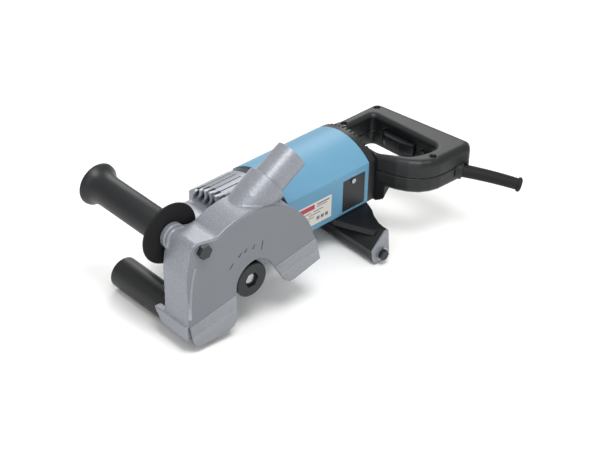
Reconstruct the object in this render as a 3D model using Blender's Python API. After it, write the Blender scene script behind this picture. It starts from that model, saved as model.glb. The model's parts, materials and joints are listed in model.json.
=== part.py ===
"""Wall chaser: twin-wheel slotting machine with a bevel-gear head and a cast guard that swings about
the spindle, a dust socket, a side handle, rollers and a loop switch handle. Metres. The modelling frame
has the spindle along Y and the motor along X; the empty 'tool' then tilts it so that both rollers stand
on the ground."""

import math

import bmesh
import bpy
from mathutils import Matrix, Vector

for old in list(bpy.data.objects):
    bpy.data.objects.remove(old)

# clearances
gap = 0.0003
running_gap = 0.0006
split_gap = 0.0003

# the motor and gear core is modelled round (0, 0, 0) and then moved to this place
core_offset = Vector((0, 0.0062, -0.0040))

# motor housing: a flat-sided barrel with an arched top
motor_front = 0.120
motor_rear = 0.263
motor_half_width = 0.0527
motor_bottom = -0.0440
motor_top = 0.0435
motor_arch_radius = 0.073
motor_wall = 0.0032
motor_corner = 0.005

# gear housing and baffle
gear_housing_front = 0.046
neck_front = 0.022
baffle_front = 0.105
nose_radius = 0.038
nose_far = 0.019
needle_boss_radius = 0.022
needle_boss_far = 0.034
nose_near = -0.0582
collar_radius = 0.0245
collar_end = -0.0857
louvre_count = 7
louvre_pitch = 0.0100
louvre_width = 0.0048
louvre_sill = 0.024
louvre_depth = 0.008
top_groove_width = 0.0016
top_groove_end = 0.097

# armature and bearings
shaft_radius = 0.006
core_radius = 0.0265
core_front = 0.128
core_rear = 0.186
air_gap = 0.001
stator_radius = 0.0355
commutator_radius = 0.016
commutator_front = 0.204
commutator_rear = 0.228
fan_radius = 0.034
fan_front = 0.080
fan_rear = 0.096
bearing_outer = 0.016
front_bearing_at = 0.046
rear_bearing_at = 0.2405
bearing_width = 0.011

# bevel pair, apex on the crossing of the two axes
pinion_teeth = 8
wheel_teeth = 24
cone_distance = 0.0285
face_width = 0.0095
addendum = 0.0017
dedendum = 0.0024

# spindle
spindle_radius = 0.007
spindle_far = 0.031
spindle_near = -0.1162
flange_radius = 0.0234
inner_flange_near = -0.0972
outer_flange_near = -0.1202
outer_flange_far = -0.1067
spindle_bearing_outer = 0.0200
spindle_bearing_near = -0.0480
spindle_bearing_far = -0.0350

# guard
guard_near = -0.119
guard_far = -0.072
cover_thickness = 0.003
guard_wall = 0.0036
guard_radius = 0.104
guard_centre = (-0.005, -0.005)
guard_front = -0.101
notch_radius = 0.029
clamp_ring_radius = 0.0335

# dust socket and nozzle, in the middle plane of the guard
nozzle_angle = math.radians(31.5)
nozzle_middle = -0.0894
socket_mouth = (0.0455, 0.1054)
socket_radius = 0.0259
socket_length = 0.085
nozzle_radius = 0.0208
nozzle_bore = 0.0182
nozzle_length = 0.045
spigot_length = 0.012

# side handle
handle_axis = (-0.0866, 0.0805)
cover_bolt = (-0.0806, 0.0816)
side_bolt_radius = 0.005
cover_bolt_head = 0.0096
stud_near = -0.0930
hand_guard_radius = 0.0395
hand_guard_thickness = 0.003
side_grip_radius = 0.0195
side_grip_end = 0.0725
side_grip_flare = 0.0275
boss_far = -0.0680

# rollers
front_roller_axis = (-0.0720, -0.0450)
front_roller_radius = 0.0205
front_roller_far = 0.0455
front_axle_radius = 0.004
rear_roller_axis = (0.2315, -0.0805)
rear_roller_radius = 0.0145
rear_beam_radius = 0.0150
rear_beam_far = 0.036
foot_near = -0.1065
rear_axle_radius = 0.004

# switch handle: a loop lying flat behind the motor
loop_half_height = 0.0250
loop_edge_round = 0.009
loop_wall = 0.0032
loop_end = 0.3930
ring_depth = 0.012
side_cover_from = 0.217
side_cover_to = 0.257
side_cover_bottom = -0.038
side_cover_top = 0.011

# cord sleeve
sleeve_start = (0.3615, -0.0985, -0.0085)
sleeve_outer = 0.0090
sleeve_bore = 0.0045

MATERIALS = {}


def material(name, rgb, roughness, metallic=0.0):
    if name not in MATERIALS:
        made = bpy.data.materials.new(name)
        made.use_nodes = True
        shader = made.node_tree.nodes["Principled BSDF"]
        shader.inputs["Base Color"].default_value = (*rgb, 1)
        shader.inputs["Roughness"].default_value = roughness
        shader.inputs["Metallic"].default_value = metallic
        MATERIALS[name] = made
    return MATERIALS[name]


def teal():
    return material("teal_nylon", (0.13, 0.36, 0.50), 0.42)


def black():
    return material("black_nylon", (0.018, 0.019, 0.021), 0.45)


def casting():
    return material("cast_aluminium", (0.42, 0.43, 0.46), 0.42, 0.9)


def cover_grey():
    return material("satin_grey_cover", (0.30, 0.31, 0.33), 0.5, 0.4)


def steel():
    return material("steel", (0.45, 0.45, 0.46), 0.3, 1.0)


def dark_steel():
    return material("blackened_steel", (0.03, 0.033, 0.035), 0.4, 0.7)


def copper():
    return material("enamelled_copper", (0.50, 0.20, 0.08), 0.35, 0.9)


def rubber():
    return material("rubber", (0.015, 0.015, 0.016), 0.7)


def carbon():
    return material("carbon", (0.05, 0.05, 0.05), 0.8)


def to_object(name, bm, made_of=None, helper=False):
    bmesh.ops.recalc_face_normals(bm, faces=bm.faces)
    mesh = bpy.data.meshes.new(name)
    bm.to_mesh(mesh)
    bm.free()
    mesh.shade_smooth()
    mesh.set_sharp_from_angle(angle=math.radians(32))
    obj = bpy.data.objects.new(name, mesh)
    bpy.context.scene.collection.objects.link(obj)
    if made_of:
        mesh.materials.append(made_of)
    if helper:
        obj.hide_render = True
        obj.display_type = "WIRE"
    return obj


def boolean(target, tools, operation="DIFFERENCE"):
    """Applies each tool to the target with the exact solver and removes the tools."""
    for tool in tools:
        step = target.modifiers.new("cut", "BOOLEAN")
        step.operation = operation
        step.object = tool
        step.solver = "EXACT"
        graph = bpy.context.evaluated_depsgraph_get()
        result = bpy.data.meshes.new_from_object(target.evaluated_get(graph))
        target.modifiers.clear()
        target.data = result
        bpy.data.objects.remove(tool)
    return target


def placed(axis, a, b, along):
    """A point from two cross coordinates and a distance along an axis."""
    return {"X": (along, a, b), "Y": (a, along, b), "Z": (a, b, along)}[axis]


def inset(outline, depth):
    """The outline moved inwards along its corners' bisectors. The outline runs counter-clockwise."""
    moved = []
    count = len(outline)
    for i, here in enumerate(outline):
        back = Vector(here) - Vector(outline[i - 1])
        ahead = Vector(outline[(i + 1) % count]) - Vector(here)
        back.normalize()
        ahead.normalize()
        inward = Vector((-back.y - ahead.y, back.x + ahead.x))
        inward.normalize()
        stretch = max(0.35, abs(inward.dot(Vector((-back.y, back.x)))))
        moved.append(tuple(Vector(here) + inward * depth / stretch))
    return moved


def counter_clockwise(outline):
    area = sum(p[0] * q[1] - q[0] * p[1] for p, q in zip(outline, outline[1:] + outline[:1]))
    return outline if area > 0 else outline[::-1]


def prism(axis, outline, low, high, edge=0.0, steps=3):
    """A bmesh of the outline swept along an axis, with rounded rims when edge is above zero."""
    outline = counter_clockwise(outline)
    bm = bmesh.new()
    layers = [(low, 0.0), (high, 0.0)]
    if edge:
        turns = [math.pi / 2 * k / steps for k in range(steps + 1)]
        layers = [(low + edge * (1 - math.sin(t)), edge * (1 - math.cos(t))) for t in reversed(turns)]
        layers += [(high - edge * (1 - math.sin(t)), edge * (1 - math.cos(t))) for t in turns]
        layers.sort()
    rings = []
    for along, depth in layers:
        points = inset(outline, depth) if depth else outline
        rings.append([bm.verts.new(placed(axis, p[0], p[1], along)) for p in points])
    bm.faces.new(rings[0])
    bm.faces.new(rings[-1][::-1])
    for lower, upper in zip(rings, rings[1:]):
        for i in range(len(lower)):
            j = (i + 1) % len(lower)
            bm.faces.new((lower[i], lower[j], upper[j], upper[i]))
    return bm


def arc(centre, radius, start, end, steps):
    return [
        (
            centre[0] + radius * math.cos(math.radians(start + (end - start) * k / steps)),
            centre[1] + radius * math.sin(math.radians(start + (end - start) * k / steps)),
        )
        for k in range(steps + 1)
    ]


def rounded(corners, steps=4):
    """An outline from (x, y, radius) corners, each radius above zero drawn as an arc."""
    outline = []
    count = len(corners)
    for i, (x, y, radius) in enumerate(corners):
        here = Vector((x, y))
        back = (Vector(corners[i - 1][:2]) - here).normalized()
        ahead = (Vector(corners[(i + 1) % count][:2]) - here).normalized()
        if radius <= 0:
            outline.append((x, y))
            continue
        half = back.angle(ahead) / 2
        middle = here + (back + ahead).normalized() * radius / math.sin(half)
        first = here + back * radius / math.tan(half) - middle
        last = here + ahead * radius / math.tan(half) - middle
        sweep = first.angle_signed(last)
        for k in range(steps + 1):
            turned = first.copy()
            turned.rotate(Matrix.Rotation(-sweep * k / steps, 2))
            outline.append(tuple(middle + turned))
    return outline


def turned(axis, centre, profile, segments=32, phase=0.0):
    """A solid of revolution. profile holds (distance along the axis, radius); a zero radius closes an end."""
    bm = bmesh.new()
    rings = []
    for along, radius in profile:
        if radius == 0:
            rings.append([bm.verts.new(placed(axis, centre[0], centre[1], along))])
            continue
        ring = []
        for k in range(segments):
            t = math.tau * k / segments + phase
            point = placed(axis, centre[0] + radius * math.cos(t), centre[1] + radius * math.sin(t), along)
            ring.append(bm.verts.new(point))
        rings.append(ring)
    pairs = list(zip(rings, rings[1:]))
    if len(rings[0]) > 1:
        pairs.append((rings[-1], rings[0]))
    for a, b in pairs:
        for i in range(segments):
            j = (i + 1) % segments
            if len(a) == 1 and len(b) == 1:
                continue
            if len(a) == 1:
                bm.faces.new((a[0], b[i], b[j]))
            elif len(b) == 1:
                bm.faces.new((a[i], a[j], b[0]))
            else:
                bm.faces.new((a[i], a[j], b[j], b[i]))
    return bm


def rod(axis, centre, radius, low, high, segments=32, phase=0.0):
    return turned(axis, centre, [(low, 0), (low, radius), (high, radius), (high, 0)], segments, phase)


def tube(axis, centre, outer, inner, low, high, segments=32):
    return turned(axis, centre, [(low, inner), (low, outer), (high, outer), (high, inner)], segments)


def box(low, high):
    bm = bmesh.new()
    size = [h - l for l, h in zip(low, high)]
    middle = [(h + l) / 2 for l, h in zip(low, high)]
    bmesh.ops.create_cube(bm, size=1, matrix=Matrix.Translation(middle) @ Matrix.Diagonal((*size, 1)))
    return bm


def cutter(bm):
    return to_object("cutter", bm, helper=True)


def several(*meshes):
    """One bmesh holding several separate solids."""
    joined = bmesh.new()
    for part in meshes:
        scratch = bpy.data.meshes.new("scratch")
        part.to_mesh(scratch)
        part.free()
        joined.from_mesh(scratch)
        bpy.data.meshes.remove(scratch)
    return joined


def motor_section(shrink=0.0):
    """The barrel's outline in Y and Z, moved inwards by shrink."""
    radius = motor_arch_radius - shrink
    half = motor_half_width - shrink
    centre_z = motor_top - motor_arch_radius
    crease = math.degrees(math.acos(half / radius))
    top = arc((0, centre_z), radius, crease, 180 - crease, 20)
    corner = max(0.001, motor_corner - shrink)
    bottom = motor_bottom + shrink
    left = arc((-half + corner, bottom + corner), corner, 180, 270, 3)
    right = arc((half - corner, bottom + corner), corner, 270, 360, 3)
    return top + left + right


def motor_housing():
    shell = to_object("motor_housing", prism("X", motor_section(), motor_front, motor_rear), teal())
    bore = cutter(prism("X", motor_section(motor_wall), motor_front - 0.01, motor_rear + 0.01))
    windows = []
    for side in (-1, 1):
        low = (side_cover_from, side * motor_half_width - 0.008, side_cover_bottom)
        high = (side_cover_to, side * motor_half_width + 0.008, side_cover_top)
        windows.append(cutter(box(low, high)))
    boolean(shell, [bore] + windows)


def side_covers():
    for side, name in ((-1, "brush_cover_near"), (1, "brush_cover_far")):
        outer = side * (motor_half_width - 0.0008)
        inner = side * (motor_half_width - 0.0028)
        low, high = sorted((outer, inner))
        rim = 0.0006
        outline = rounded([
            (side_cover_from + rim, side_cover_bottom + rim, 0.0015),
            (side_cover_to - rim, side_cover_bottom + rim, 0.0015),
            (side_cover_to - rim, side_cover_top - rim, 0.0015),
            (side_cover_from + rim, side_cover_top - rim, 0.0015),
        ], 2)
        plate = to_object(name, prism("Y", outline, low, high), black())
        boolean(plate, [cutter(rod("Y", cover_screw, 0.0021, low - 0.005, high + 0.005, 12))])


def cover_screws():
    for side, name in ((-1, "brush_cover_screw_near"), (1, "brush_cover_screw_far")):
        head = sorted((side * (motor_half_width - 0.0005), side * (motor_half_width + 0.0017)))
        neck = sorted((side * (motor_half_width - 0.0075), side * (motor_half_width - 0.0003)))
        profile = [
            (neck[0], 0), (neck[0], 0.0018), (head[0], 0.0018), (head[0], 0.0036), (head[1], 0.0036),
            (head[1], 0),
        ]
        if side < 0:
            profile = [
                (head[0], 0), (head[0], 0.0036), (head[1], 0.0036), (head[1], 0.0018), (neck[1], 0.0018),
                (neck[1], 0),
            ]
        to_object(name, turned("Y", cover_screw, profile, 16), steel())


def stator():
    ring = tube("X", (0, 0), stator_radius, core_radius + air_gap, core_front, core_rear, 28)
    to_object("stator_core", ring, steel())
    ends = (
        ("field_coil_front", core_front - 0.0095, core_front - gap),
        ("field_coil_rear", core_rear + gap, core_rear + 0.0095),
    )
    for name, low, high in ends:
        to_object(
            name, tube("X", (0, 0), stator_radius - 0.001, core_radius + 0.0025, low, high, 20), copper(),
        )


def armature():
    shaft = rod("X", (0, 0), shaft_radius, pinion_back + gap, rear_bearing_at + bearing_width / 2 + 0.002, 20)
    to_object("armature_shaft", shaft, steel())
    bore = shaft_radius + gap
    core = to_object(
        "armature_core", tube("X", (0, 0), core_radius, bore, core_front + 0.001, core_rear - 0.001, 24),
        steel(),
    )
    slots = []
    for k in range(8):
        t = math.tau * k / 8
        slot = box(
            (core_front - 0.01, -0.0012, core_radius - 0.004),
            (core_rear + 0.01, 0.0012, core_radius + 0.004),
        )
        bmesh.ops.rotate(slot, verts=slot.verts, cent=(0, 0, 0), matrix=Matrix.Rotation(t, 3, "X"))
        slots.append(slot)
    boolean(core, [cutter(several(*slots))])
    ends = (("armature_winding_front", core_front - 0.010, core_front + 0.001 - gap),
            ("armature_winding_rear", core_rear - 0.001 + gap, core_rear + 0.010))
    for name, low, high in ends:
        to_object(name, tube("X", (0, 0), core_radius - 0.005, bore, low, high, 18), copper())
    bars = tube("X", (0, 0), commutator_radius, bore, commutator_front, commutator_rear, 24)
    to_object("commutator", bars, copper())
    hub = to_object("cooling_fan", tube("X", (0, 0), 0.013, bore, fan_front, fan_rear, 24), black())
    disc = cutter(tube("X", (0, 0), fan_radius, 0.012, fan_rear - 0.002, fan_rear, 32))
    blades = []
    for k in range(10):
        blade = box((fan_front, -0.0009, 0.012), (fan_rear - 0.001, 0.0009, fan_radius - 0.0005))
        spin = Matrix.Rotation(math.tau * k / 10, 3, "X")
        bmesh.ops.rotate(blade, verts=blade.verts, cent=(0, 0, 0), matrix=spin)
        blades.append(blade)
    boolean(hub, [disc, cutter(several(*blades))], "UNION")


def bearing(name, axis, centre, inner, outer, low, high):
    to_object(name, tube(axis, centre, outer, inner, low, high, 20), steel())


def bearings():
    half = bearing_width / 2
    bore = shaft_radius + gap
    for name, at in (
        ("front_armature_bearing", front_bearing_at), ("rear_armature_bearing", rear_bearing_at),
    ):
        bearing(name, "X", (0, 0), bore, bearing_outer, at - half, at + half)
    bore = spindle_radius + gap
    bearing(
        "spindle_ball_bearing", "Y", (0, 0), bore, spindle_bearing_outer, spindle_bearing_near,
        spindle_bearing_far,
    )
    bearing("spindle_needle_bearing", "Y", (0, 0), bore, 0.0115, 0.017, 0.028)


def bevel_teeth(teeth, pitch_angle, axis, direction, bore, phase, back_extra):
    """A bevel gear whose tooth flanks all run to the apex at the origin."""
    tip = pitch_angle + math.atan(addendum / cone_distance)
    root = pitch_angle - math.atan(dedendum / cone_distance)
    loops = []
    pattern = ((-0.33, root), (-0.13, tip), (0.13, tip), (0.33, root))

    def ring(distance):
        points = []
        for k in range(teeth):
            for share, angle in pattern:
                turn = math.tau * (k + share) / teeth + phase
                radial = distance * math.sin(angle)
                along = distance * math.cos(angle) * direction
                points.append((radial * math.cos(turn), radial * math.sin(turn), along))
        return points

    def circle(radius, along):
        points = []
        for k in range(teeth):
            for share, _ in pattern:
                turn = math.tau * (k + share) / teeth + phase
                points.append((radius * math.cos(turn), radius * math.sin(turn), along * direction))
        return points

    inner = cone_distance - face_width
    outer_along = cone_distance * math.cos(root) + back_extra
    back_radius = cone_distance * math.sin(root) - 0.0015
    loops = [circle(bore, inner * math.cos(root) + 0.0006), ring(inner), ring(cone_distance)]
    loops += [circle(back_radius, outer_along), circle(bore, outer_along)]
    bm = bmesh.new()
    rings = [[bm.verts.new(placed(axis, *p)) for p in loop] for loop in loops]
    count = len(rings[0])
    for a, b in zip(rings, rings[1:] + rings[:1]):
        for i in range(count):
            j = (i + 1) % count
            bm.faces.new((a[i], a[j], b[j], b[i]))
    return bm


def gears():
    pinion = bevel_teeth(pinion_teeth, pinion_angle, "X", 1, 0.0028, math.pi, 0.0012)
    to_object("bevel_pinion", pinion, dark_steel())
    pitch = math.tau / wheel_teeth
    wheel = bevel_teeth(wheel_teeth, wheel_angle, "Y", -1, spindle_radius + gap, pitch / 2, 0.004)
    to_object("bevel_wheel", wheel, dark_steel())


def spindle():
    to_object("spindle", rod("Y", (0, 0), spindle_radius, spindle_near, spindle_far, 24), steel())
    bore = spindle_radius + gap
    to_object(
        "inner_flange",
        tube("Y", (0, 0), flange_radius, bore, inner_flange_near, inner_flange_near + 0.0098, 32),
        dark_steel(),
    )
    spacer = tube("Y", (0, 0), 0.0115, bore, outer_flange_far + gap, inner_flange_near - gap, 24)
    to_object("wheel_spacer", spacer, steel())
    nut = turned("Y", (0, 0), [
        (outer_flange_near, 0), (outer_flange_near, flange_radius - 0.0012),
        (outer_flange_near + 0.0012, flange_radius), (outer_flange_far, flange_radius), (outer_flange_far, 0),
    ], 40)
    nut = to_object("outer_flange_nut", nut, dark_steel())
    depth = spindle_near + gap
    socket = [cutter(rod("Y", (0, 0), bore, spindle_near - gap, outer_flange_far + 0.01, 24))]
    hexagon = rod("Y", (0, 0), 0.0105, outer_flange_near - 0.01, depth, 6)
    boolean(nut, socket + [cutter(hexagon)])


def gear_housing():
    shell = to_object(
        "gear_housing", prism("X", motor_section(0.0008), gear_housing_front, baffle_front), casting(),
    )
    chin = rounded(
        [(-0.040, -0.0400, 0.006), (0.040, -0.0400, 0.006), (0.040, 0.0205, 0.006), (-0.040, 0.0205, 0.006)]
    )
    chin = cutter(prism("X", chin, neck_front, gear_housing_front + 0.004))
    nose = cutter(rod("Y", (0, 0), nose_radius, nose_near, nose_far, 48))
    neck = cutter(rod("Y", (0, 0), collar_radius + 0.006, collar_end + 0.0115, nose_near + 0.002, 40))
    collar = cutter(rod("Y", (0, 0), collar_radius, collar_end, nose_near + 0.004, 40))
    needle_boss = cutter(rod("Y", (0, 0), needle_boss_radius, 0, needle_boss_far, 32, 0.02))
    boolean(shell, [chin, nose, needle_boss, neck, collar], "UNION")
    cuts = [
        cutter(rod("X", (0, 0), fan_radius + 0.0015, fan_front - 0.004, baffle_front + 0.01, 40, 0.03)),
        cutter(
            rod(
                "X", (0, 0), bearing_outer + gap, front_bearing_at - bearing_width / 2 - gap, fan_front, 32,
                0.05,
            )
        ),
        cutter(rod("X", (0, 0), 0.0127, 0.012, front_bearing_at + 0.001, 28, 0.07)),
        cutter(rod("Y", (0, 0), 0.0315, spindle_bearing_far + 0.001, 0.0145, 40, 0.04)),
        cutter(
            rod(
                "Y", (0, 0), spindle_bearing_outer + gap, spindle_bearing_near - gap,
                spindle_bearing_far + 0.002, 32, 0.06,
            )
        ),
        cutter(rod("Y", (0, 0), 0.0115 + gap, 0.010, 0.028 + gap, 28, 0.09)),
        cutter(rod("Y", (0, 0), spindle_radius + 0.0012, collar_end - 0.01, spindle_far + gap, 28, 0.11)),
    ]
    boolean(shell, cuts)
    front = gear_housing_front - 0.004
    back = gear_housing_front + louvre_depth
    duct = [
        (front, 0.060), (front, louvre_sill), (0.080, louvre_sill), (0.080, 0.0310), (back, 0.0310),
        (back, 0.060),
    ]
    vents = []
    for k in range(louvre_count):
        y = (k - (louvre_count - 1) / 2) * louvre_pitch
        vents.append(prism("Y", duct, y - louvre_width / 2, y + louvre_width / 2))
    boolean(shell, [cutter(several(*vents))])
    grooves = []
    for k in range(louvre_count):
        y = (k - (louvre_count - 1) / 2) * louvre_pitch
        floor = motor_top - motor_arch_radius + math.sqrt(motor_arch_radius ** 2 - y * y) - 0.0030
        grooves.append(
            box(
                (back - 0.002, y - top_groove_width / 2, floor),
                (top_groove_end, y + top_groove_width / 2, 0.060),
            )
        )
    boolean(shell, [cutter(several(*grooves))])


def baffle():
    ring = prism("X", motor_section(0.0016), baffle_front + gap, motor_front - gap)
    ring = to_object("baffle_ring", ring, black())
    boolean(ring, [cutter(rod("X", (0, 0), 0.0356, baffle_front - 0.01, motor_front + 0.01, 36))])


def guard_outline():
    """The guard's side profile in X and Z: arch, side-handle boss and two legs round the wheel notch."""
    arch = arc(guard_centre, guard_radius, 14.5, 118, 30)
    boss = [(-0.0600, 0.0862), (-0.0870, 0.0915), (-0.0915, 0.0900), (-0.0945, 0.0860), (-0.1000, 0.0640)]
    front = [
        (guard_front - 0.0015, 0.048), (guard_front - 0.0005, 0.020), (guard_front, 0.0),
        (guard_front, -0.022),
    ]
    front_leg = [
        (-0.0975, -0.0440), (-0.0935, -0.0520), (-0.0860, -0.0565), (-0.0420, -0.0565), (-0.0335, -0.0530),
        (-0.0290, -0.0450),
    ]
    notch = arc((0, 0), notch_radius, 184, 27, 18)
    rear_leg = [
        (0.0330, 0.0020), (0.0440, -0.0170), (0.0500, -0.0260), (0.0565, -0.0305), (0.0640, -0.0310),
        (0.1075, -0.0205), (0.1000, 0.0120),
    ]
    return arch + boss + front + front_leg + notch + rear_leg


def guard():
    body = prism("Y", guard_outline(), guard_near + cover_thickness + gap, guard_far)
    body = to_object("guard_body", body, casting())
    ring = cutter(rod("Y", (0, core_offset.z), clamp_ring_radius, guard_far - guard_wall, guard_far, 48))
    boolean(body, [ring], "UNION")
    inner = guard_radius - guard_wall
    cavity = arc(guard_centre, inner, 12, 150, 30)
    cavity += [
        (guard_front + guard_wall, 0.03), (guard_front + guard_wall, -0.044), (-0.092, -0.052),
        (-0.080, -0.09),
    ]
    cavity += [(0.085, -0.09), (0.1035, -0.0235)]
    hollow = cutter(prism("Y", cavity, guard_near - 0.01, guard_far - guard_wall))
    saddle = cutter(
        rod("Y", (0, core_offset.z), collar_radius + running_gap, guard_far - 0.02, guard_far + 0.02, 40)
    )
    bolt_hole = cutter(rod("Y", handle_axis, side_bolt_radius + gap, stud_near - gap, 0.0, 24))
    cover_hole = cutter(
        rod("Y", cover_bolt, side_bolt_radius + gap, guard_near - 0.01, stud_near - 0.004, 24, 0.1)
    )
    shoe = [
        (guard_near + cover_thickness + gap, -0.0225), (-0.0560, -0.0225), (-0.0680, -0.0400),
        (guard_near + cover_thickness + gap, -0.0425),
    ]
    shoe = cutter(prism("X", shoe, guard_front - 0.0035, guard_front + 0.0070))
    boss = cutter(rod("Y", handle_axis, 0.0165, guard_far - 0.004, boss_far, 32))
    axle_boss = cutter(
        rod("Y", front_roller_axis, 0.0105, guard_far - guard_wall - 0.006, guard_far + 0.0055, 28)
    )
    axle_hole = cutter(
        rod("Y", front_roller_axis, front_axle_radius + gap, guard_far - 0.03, guard_far + 0.02, 20)
    )
    boolean(body, [socket_solid()], "UNION")
    boolean(body, [hollow])
    boolean(body, [boss, axle_boss, shoe], "UNION")
    boolean(body, [saddle, bolt_hole, cover_hole, axle_hole, socket_bore()])

def on_nozzle(bm):
    """Moves a solid made along X to the socket's mouth, pointing out of it."""
    turn = Matrix.Rotation(-nozzle_angle, 4, "Y")
    place = Matrix.Translation((socket_mouth[0], nozzle_middle, socket_mouth[1]))
    bmesh.ops.transform(bm, matrix=place @ turn, verts=bm.verts)
    return bm


def socket_solid():
    profile = [
        (-socket_length, 0), (-socket_length, 0.016), (-0.052, 0.0235), (-0.030, socket_radius),
        (0, socket_radius), (0, 0),
    ]
    return cutter(on_nozzle(turned("X", (0, 0), profile, 40)))


def socket_bore():
    return cutter(on_nozzle(rod("X", (0, 0), nozzle_bore + 0.0012, -0.052, 0.01, 32)))


def nozzle():
    pipe = turned("X", (0, 0), [
        (-spigot_length, nozzle_bore - 0.0015), (-spigot_length, nozzle_bore + 0.0008),
        (gap, nozzle_bore + 0.0008), (gap, nozzle_radius), (nozzle_length, nozzle_radius - 0.0005),
        (nozzle_length, nozzle_bore), (gap, nozzle_bore - 0.0015),
    ], 40)
    to_object("dust_nozzle", on_nozzle(pipe), casting())


def guard_cover():
    plate = to_object(
        "guard_cover", prism("Y", guard_outline(), guard_near, guard_near + cover_thickness), cover_grey(),
    )
    boolean(
        plate,
        [cutter(rod("Y", cover_bolt, side_bolt_radius + gap, guard_near - 0.01, guard_near + 0.02, 24, 0.1))],
    )
    head = rod("Y", cover_bolt, cover_bolt_head, guard_near - 0.0065, guard_near - gap, 6)
    shank = cutter(rod("Y", cover_bolt, side_bolt_radius, guard_near - 0.002, stud_near - 0.005, 20))
    boolean(to_object("guard_cover_bolt", head, dark_steel()), [shank], "UNION")


def side_handle():
    to_object("side_handle_stud", rod("Y", handle_axis, side_bolt_radius, stud_near, 0.020, 20), dark_steel())
    start = boss_far + gap
    disc_end = start + hand_guard_thickness
    bore = side_bolt_radius + gap
    disc = tube("Y", handle_axis, hand_guard_radius, bore, start, disc_end, 48)
    to_object("hand_guard_disc", disc, rubber())
    grip = turned("Y", handle_axis, [
        (disc_end + gap, bore), (
            disc_end + gap, side_grip_radius - 0.001,
        ), (disc_end + 0.002, side_grip_radius),
        (side_grip_end - 0.026, side_grip_radius), (side_grip_end - 0.016, side_grip_radius + 0.0012),
        (side_grip_end - 0.010, side_grip_radius + 0.0042), (side_grip_end - 0.006, side_grip_flare - 0.0005),
        (
            side_grip_end - 0.003, side_grip_flare,
        ), (side_grip_end, side_grip_flare - 0.004), (side_grip_end, 0),
        (0.0205, 0), (0.0205, bore),
    ], 36)
    to_object("side_handle_grip", grip, black())


def front_roller():
    start = guard_far + 0.0055 + running_gap
    bore = front_axle_radius + running_gap
    low, high = start, front_roller_far
    roller = turned("Y", front_roller_axis, [
        (low, bore), (low, front_roller_radius - 0.0015), (low + 0.0015, front_roller_radius),
        (high - 0.0015, front_roller_radius), (high, front_roller_radius - 0.0015), (high, bore),
    ], 40)
    to_object("front_roller", roller, black())
    axle = turned("Y", front_roller_axis, [
        (guard_far - guard_wall - 0.011, 0), (guard_far - guard_wall - 0.011, 0.0065),
        (guard_far - guard_wall - 0.006 - gap, 0.0065), (
            guard_far - guard_wall - 0.006 - gap, front_axle_radius,
        ),
        (
            high + running_gap, front_axle_radius,
        ), (high + running_gap, 0.0065), (high + 0.003, 0.0065), (high + 0.003, 0),
    ], 20)
    to_object("front_roller_axle", axle, steel())


def rear_foot():
    ax, az = rear_roller_axis
    reach = core_offset.z + motor_bottom - gap
    section = [(ax + 0.0060, reach), (ax - 0.0160, az + 0.0100)]
    section += arc((ax, az), rear_beam_radius, 175, 355, 12)
    section += [(ax + 0.0115, reach)]
    foot = to_object("rear_foot", prism("Y", section, foot_near + 0.0032, rear_beam_far), black())
    under = cutter(
        box((ax - 0.05, guard_near - 0.01, az - 0.05), (ax + 0.05, rear_beam_far + 0.01, az - 0.0105))
    )
    channel = cutter(
        rod(
            "Y", rear_roller_axis, rear_roller_radius + running_gap + 0.0004, foot_near + 0.011,
            rear_beam_far - 0.008, 36,
        )
    )
    flange = [
        (ax - 0.026, rear_beam_far - 0.002), (ax - 0.026, -0.0440), (ax - 0.004, -0.0960),
        (ax + 0.0110, -0.1000), (ax + 0.0130, -0.0870),
    ]
    flange += [
        (ax + 0.0200, -0.0710), (ax + 0.0275, -0.0600), (ax + 0.0340, -0.0440),
        (ax + 0.0340, rear_beam_far - 0.002),
    ]
    flange = cutter(prism("Z", flange, reach - 0.0085, reach))
    boolean(foot, [flange], "UNION")
    hole = cutter(
        rod("Y", rear_roller_axis, rear_axle_radius + gap, guard_near - 0.01, rear_beam_far + 0.01, 20)
    )
    boolean(foot, [under, channel, hole])
    bore = rear_axle_radius + running_gap
    low, high = foot_near + 0.011 + running_gap, rear_beam_far - 0.008 - running_gap
    roller = tube("Y", rear_roller_axis, rear_roller_radius, bore, low, high, 36)
    to_object("rear_roller", roller, black())
    plate_face = foot_near + 0.0032 - gap
    plate = to_object("rear_foot_end_plate", prism("Y", section, foot_near, plate_face), steel())
    below = cutter(box((ax - 0.05, guard_near - 0.01, az - 0.05), (ax + 0.05, guard_far, az - 0.0125)))
    plate_hole = cutter(rod("Y", rear_roller_axis, rear_axle_radius + gap, guard_near - 0.01, guard_far, 20))
    boolean(plate, [below, plate_hole])
    head = foot_near - 0.0018
    bolt = rod("Y", rear_roller_axis, 0.0075, head - 0.0053, head - gap, 6)
    shank = cutter(rod("Y", rear_roller_axis, rear_axle_radius, head - 0.002, rear_beam_far + 0.005, 16))
    nut = cutter(rod("Y", rear_roller_axis, 0.0068, rear_beam_far + gap, rear_beam_far + 0.0053, 6))
    boolean(to_object("rear_axle_bolt", bolt, dark_steel()), [shank, nut], "UNION")
    washer = tube("Y", rear_roller_axis, 0.0092, rear_axle_radius + gap, head, foot_near - gap, 24)
    to_object("rear_axle_washer", washer, steel())


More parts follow.
